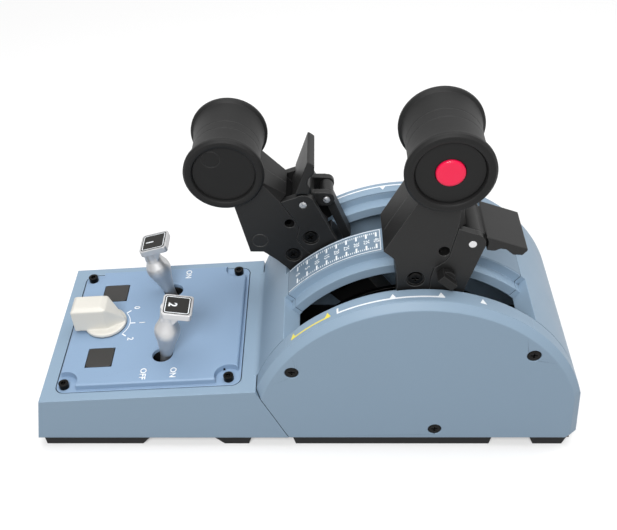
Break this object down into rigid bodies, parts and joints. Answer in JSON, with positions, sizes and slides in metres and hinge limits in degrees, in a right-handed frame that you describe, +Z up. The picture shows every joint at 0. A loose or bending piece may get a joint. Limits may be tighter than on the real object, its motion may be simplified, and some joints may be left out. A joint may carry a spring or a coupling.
{
  "type": "throttle quadrant",
  "caption": "Desktop throttle quadrant: side-by-side thrust levers with grips and reverser latches over a scaled drum, and a rear panel with toggles, keys and a selector.",
  "frame": {"origin": "under the middle of the overall box, on the surface that the quadrant stands on", "axes": "+X forward, from the engine panel towards the drum's nose; +Y to the user's left when facing forward; +Z up"},
  "size_m": [0.2364, 0.0886, 0.1571],
  "materials": {
    "black": "matt black",
    "black_steel": "blackened screws",
    "blue": "satin pale blue-grey",
    "board": "circuit board green",
    "cream": "warm white",
    "dark": "fine-textured near-black",
    "handle": "satin near-black",
    "magnet": "nickel plated",
    "panel": "satin pale blue-grey",
    "print": "printed blue-grey film",
    "red": "glossy red",
    "rubber": "black rubber",
    "satin_metal": "satin silver",
    "steel": "bright screws and pins",
    "white_plastic": "natural nylon"
  },
  "bodies": {
    "base": {"axle": "steel", "axle_spacers": "white_plastic", "base_plate": "black", "base_screws": "black_steel", "centre_arch": "blue", "centre_post": "black", "detent_plates": "satin_metal", "engine_panel": "panel", "front_cover": "blue", "key_switches": "black", "main_board": "board", "mark_strips": "print", "panel_screws": "black_steel", "pivot_blocks": "black", "rear_housing": "blue", "rubber_feet": "rubber", "scale_band": "print", "selector_body": "black", "sensor_boards": "board", "side_panel_left": "blue", "side_panel_right": "blue", "side_screws": "black_steel", "toggle_cases": "black", "usb_socket": "satin_metal"},
    "right_lever": {"right_arm_fasteners": "steel", "right_arm_shell_inner": "dark", "right_arm_shell_outer": "dark", "right_bracket": "dark", "right_cap_inner": "handle", "right_cap_outer": "handle", "right_core": "dark", "right_grip": "handle", "right_hub_magnet": "magnet"},
    "right_plunger_body": {"right_detent_plunger": "steel"},
    "right_button_body": {"right_disconnect_button": "red"},
    "right_latch_body": {"right_latch": "dark", "right_link_pin": "steel"},
    "right_rod_body": {"right_latch_rod": "black"},
    "right_tension_body": {"right_tension_knob": "steel"},
    "left_lever": {"left_arm_fasteners": "steel", "left_arm_shell_inner": "dark", "left_arm_shell_outer": "dark", "left_bracket": "dark", "left_cap_inner": "handle", "left_cap_outer": "handle", "left_core": "dark", "left_grip": "handle", "left_hub_magnet": "magnet"},
    "left_plunger_body": {"left_detent_plunger": "steel"},
    "left_button_body": {"left_disconnect_button": "red"},
    "left_latch_body": {"left_latch": "dark", "left_link_pin": "steel"},
    "left_rod_body": {"left_latch_rod": "black"},
    "left_tension_body": {"left_tension_knob": "steel"},
    "right_toggle_body": {"toggle_right": "satin_metal"},
    "right_key_body": {"key_right": "black"},
    "left_toggle_body": {"toggle_left": "satin_metal"},
    "left_key_body": {"key_left": "black"},
    "selector_turning": {"selector_knob": "cream"}
  },
  "joints": [
    {"name": "right_lever_pivot", "type": "hinge", "parent": "base", "child": "right_lever", "pos_m": [0.04725, -0.02125, 0.0114], "axis": [0, 1, 0], "range_deg": [-41.16, 22.64]},
    {"name": "right_latch_pivot", "type": "hinge", "parent": "right_lever", "child": "right_latch_body", "pos_m": [0.06451, -0.02125, 0.10477], "axis": [0, -1, 0], "range_deg": [0, 50]},
    {"name": "right_rod_pivot", "type": "hinge", "parent": "right_latch_body", "child": "right_rod_body", "pos_m": [0.06409, -0.02125, 0.09468], "axis": [0, 1, 0], "range_deg": [0, 66.7]},
    {"name": "right_tension_turn", "type": "hinge", "parent": "right_lever", "child": "right_tension_body", "pos_m": [0.05558, -0.02125, 0.08962], "axis": [0, -1, 0], "range_deg": [0, 90]},
    {"name": "right_disconnect_press", "type": "slide", "parent": "right_lever", "child": "right_button_body", "axis": [0, 1, 0], "range_m": [0, 0.002], "stiffness_N_per_m": 400},
    {"name": "right_plunger_slide", "type": "slide", "parent": "right_lever", "child": "right_plunger_body", "axis": [0, -1, 0], "range_m": [0, 0.0008], "stiffness_N_per_m": 900},
    {"name": "left_lever_pivot", "type": "hinge", "parent": "base", "child": "left_lever", "pos_m": [0.04725, 0.02125, 0.0114], "axis": [0, 1, 0], "range_deg": [0, 63.8]},
    {"name": "left_latch_pivot", "type": "hinge", "parent": "left_lever", "child": "left_latch_body", "pos_m": [-0.00121, 0.02125, 0.09305], "axis": [0, -1, 0], "range_deg": [-50, 0]},
    {"name": "left_rod_pivot", "type": "hinge", "parent": "left_latch_body", "child": "left_rod_body", "pos_m": [0.00889, 0.02125, 0.09284], "axis": [0, 1, 0], "range_deg": [-66.7, 0]},
    {"name": "left_tension_turn", "type": "hinge", "parent": "left_lever", "child": "left_tension_body", "pos_m": [0.00204, 0.02125, 0.07577], "axis": [0, 1, 0], "range_deg": [0, 90]},
    {"name": "left_disconnect_press", "type": "slide", "parent": "left_lever", "child": "left_button_body", "axis": [0, -1, 0], "range_m": [0, 0.002], "stiffness_N_per_m": 400},
    {"name": "left_plunger_slide", "type": "slide", "parent": "left_lever", "child": "left_plunger_body", "axis": [0, 1, 0], "range_m": [0, 0.0008], "stiffness_N_per_m": 900},
    {"name": "right_toggle_pivot", "type": "hinge", "parent": "base", "child": "right_toggle_body", "pos_m": [-0.06283, -0.0217, 0.0265], "axis": [0, 1, 0], "range_deg": [-23, 0]},
    {"name": "right_key_press", "type": "slide", "parent": "base", "child": "right_key_body", "axis": [0.0663, 0, -0.9978], "range_m": [0, 0.0009], "stiffness_N_per_m": 400},
    {"name": "left_toggle_pivot", "type": "hinge", "parent": "base", "child": "left_toggle_body", "pos_m": [-0.06283, 0.0217, 0.0265], "axis": [0, 1, 0], "range_deg": [0, 23.8]},
    {"name": "left_key_press", "type": "slide", "parent": "base", "child": "left_key_body", "axis": [0.0663, 0, -0.9978], "range_m": [0, 0.0009], "stiffness_N_per_m": 400},
    {"name": "selector_turn", "type": "hinge", "parent": "base", "child": "selector_turning", "pos_m": [-0.09179, 0, 0.02989], "axis": [-0.0663, 0, 0.9978], "range_deg": [-40, 40]}
  ],
  "couplings": [
    {"joint": "right_rod_pivot", "follows": "right_latch_pivot", "ratio": 1.334},
    {"joint": "left_rod_pivot", "follows": "left_latch_pivot", "ratio": 1.334}
  ]
}
